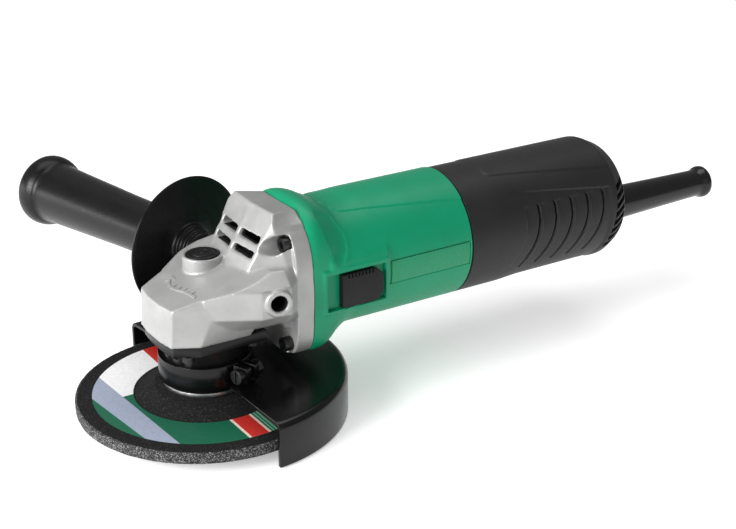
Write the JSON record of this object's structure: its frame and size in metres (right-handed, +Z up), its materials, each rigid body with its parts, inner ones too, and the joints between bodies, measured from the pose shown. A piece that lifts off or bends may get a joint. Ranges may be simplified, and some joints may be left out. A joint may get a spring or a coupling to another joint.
{
  "type": "angle grinder",
  "caption": "Corded angle grinder with a depressed-centre wheel, guard, gear head, slide switch, spindle lock and side handle.",
  "frame": {"origin": "centre of the lock nut's lower face, on the spindle axis", "axes": "+Z up the spindle into the gear head, +X along the motor towards the tail, +Y towards the side handle"},
  "size_m": [0.3831, 0.2381, 0.1011],
  "materials": {
    "cast_aluminium": "cast, blasted",
    "black_painted_metal": "gloss black",
    "housing_plastic": "moulded, satin green",
    "plate_plastic": "moulded, blank",
    "tail_plastic": "moulded, fine grain",
    "black_rubber": "smooth",
    "handle_plastic": "smooth moulded",
    "control_plastic": "moulded",
    "inner_plastic": "moulded",
    "black_screw": "black oxide",
    "bright_screw": "zinc plated",
    "steel": "ground",
    "plated_steel": "turned, plated",
    "bearing_steel": "polished",
    "laminated_steel": "stacked laminations",
    "copper_wire": "enamelled copper",
    "brass": "stamped",
    "bronze": "sintered bronze",
    "carbon": "graphite",
    "capacitor_plastic": "moulded",
    "abrasive": "bonded grit",
    "label_paper": "printed, no text"
  },
  "bodies": {
    "housing": {"gear_head": "cast_aluminium", "bearing_cover": "black_painted_metal", "bearing_cover_screws": "black_screw", "gear_head_screws": "black_screw", "motor_housing": "housing_plastic", "nameplate": "plate_plastic", "tail_cover": "tail_plastic", "tail_cover_screws": "black_screw", "cord_armour": "black_rubber", "cord_clamp": "inner_plastic", "cord_clamp_screws": "bright_screw", "spindle_top_bush": "bronze", "bearing_retainer": "black_painted_metal", "retainer_screws": "bright_screw", "fan_baffle": "inner_plastic", "stator_core": "laminated_steel", "stator_coils": "copper_wire", "stator_screws": "bright_screw", "brush_holders": "brass", "carbon_brushes": "carbon", "brush_springs": "steel", "rear_bearing_sleeve": "black_rubber", "switch_body": "inner_plastic", "capacitor": "capacitor_plastic", "lock_spring": "steel", "spindle_bearing_outer": "bearing_steel", "spindle_bearing_balls": "bearing_steel", "front_bearing_outer": "bearing_steel", "front_bearing_balls": "bearing_steel", "rear_bearing_outer": "bearing_steel", "rear_bearing_balls": "bearing_steel"},
    "spindle": {"spindle": "steel", "ring_gear": "steel", "gear_key": "steel", "gear_circlip": "steel", "inner_flange": "plated_steel", "spindle_bearing_inner": "bearing_steel"},
    "wheel": {"grinding_wheel": "abrasive", "wheel_label": "label_paper", "wheel_bush": "steel", "lock_nut": "plated_steel"},
    "armature": {"armature_shaft": "steel", "armature_core": "laminated_steel", "armature_windings": "copper_wire", "commutator": "inner_plastic", "fan": "inner_plastic", "pinion": "steel", "pinion_nut": "steel", "front_bearing_inner": "bearing_steel", "rear_bearing_inner": "bearing_steel"},
    "lock": {"lock_button": "control_plastic", "lock_pin": "steel"},
    "switch": {"slide_knob": "control_plastic", "slide_bar": "control_plastic"},
    "guard": {"wheel_guard": "black_painted_metal", "guard_collar": "black_painted_metal", "guard_clamp_screw": "black_screw"},
    "side_handle": {"side_handle": "handle_plastic", "handle_stud": "steel"}
  },
  "joints": [
    {"name": "spindle_spin", "type": "hinge", "parent": "housing", "child": "spindle", "pos_m": [0, 0, 0.03], "axis": [0, 0, 1], "continuous": true},
    {"name": "armature_spin", "type": "hinge", "parent": "housing", "child": "armature", "pos_m": [0.1, 0, 0.0585], "axis": [1, 0, 0], "continuous": true},
    {"name": "wheel_removal", "type": "slide", "parent": "spindle", "child": "wheel", "axis": [0, 0, -1], "range_m": [0, 0.02]},
    {"name": "lock_button_press", "type": "slide", "parent": "housing", "child": "lock", "axis": [0, 0, -1], "range_m": [0, 0.0034], "stiffness_N_per_m": 800, "springref_m": -0.003, "deforming": ["lock_spring"]},
    {"name": "switch_slide", "type": "slide", "parent": "housing", "child": "switch", "axis": [-1, 0, 0], "range_m": [0, 0.0065]},
    {"name": "guard_turn", "type": "hinge", "parent": "housing", "child": "guard", "pos_m": [0, 0, 0.02], "axis": [0, 0, 1], "range_deg": [-90, 90]},
    {"name": "side_handle_unscrew", "type": "slide", "parent": "housing", "child": "side_handle", "axis": [-0.2419, 0.9703, 0], "range_m": [0, 0.02]}
  ],
  "couplings": [
    {"joint": "armature_spin", "follows": "spindle_spin", "ratio": 3.4545}
  ]
}
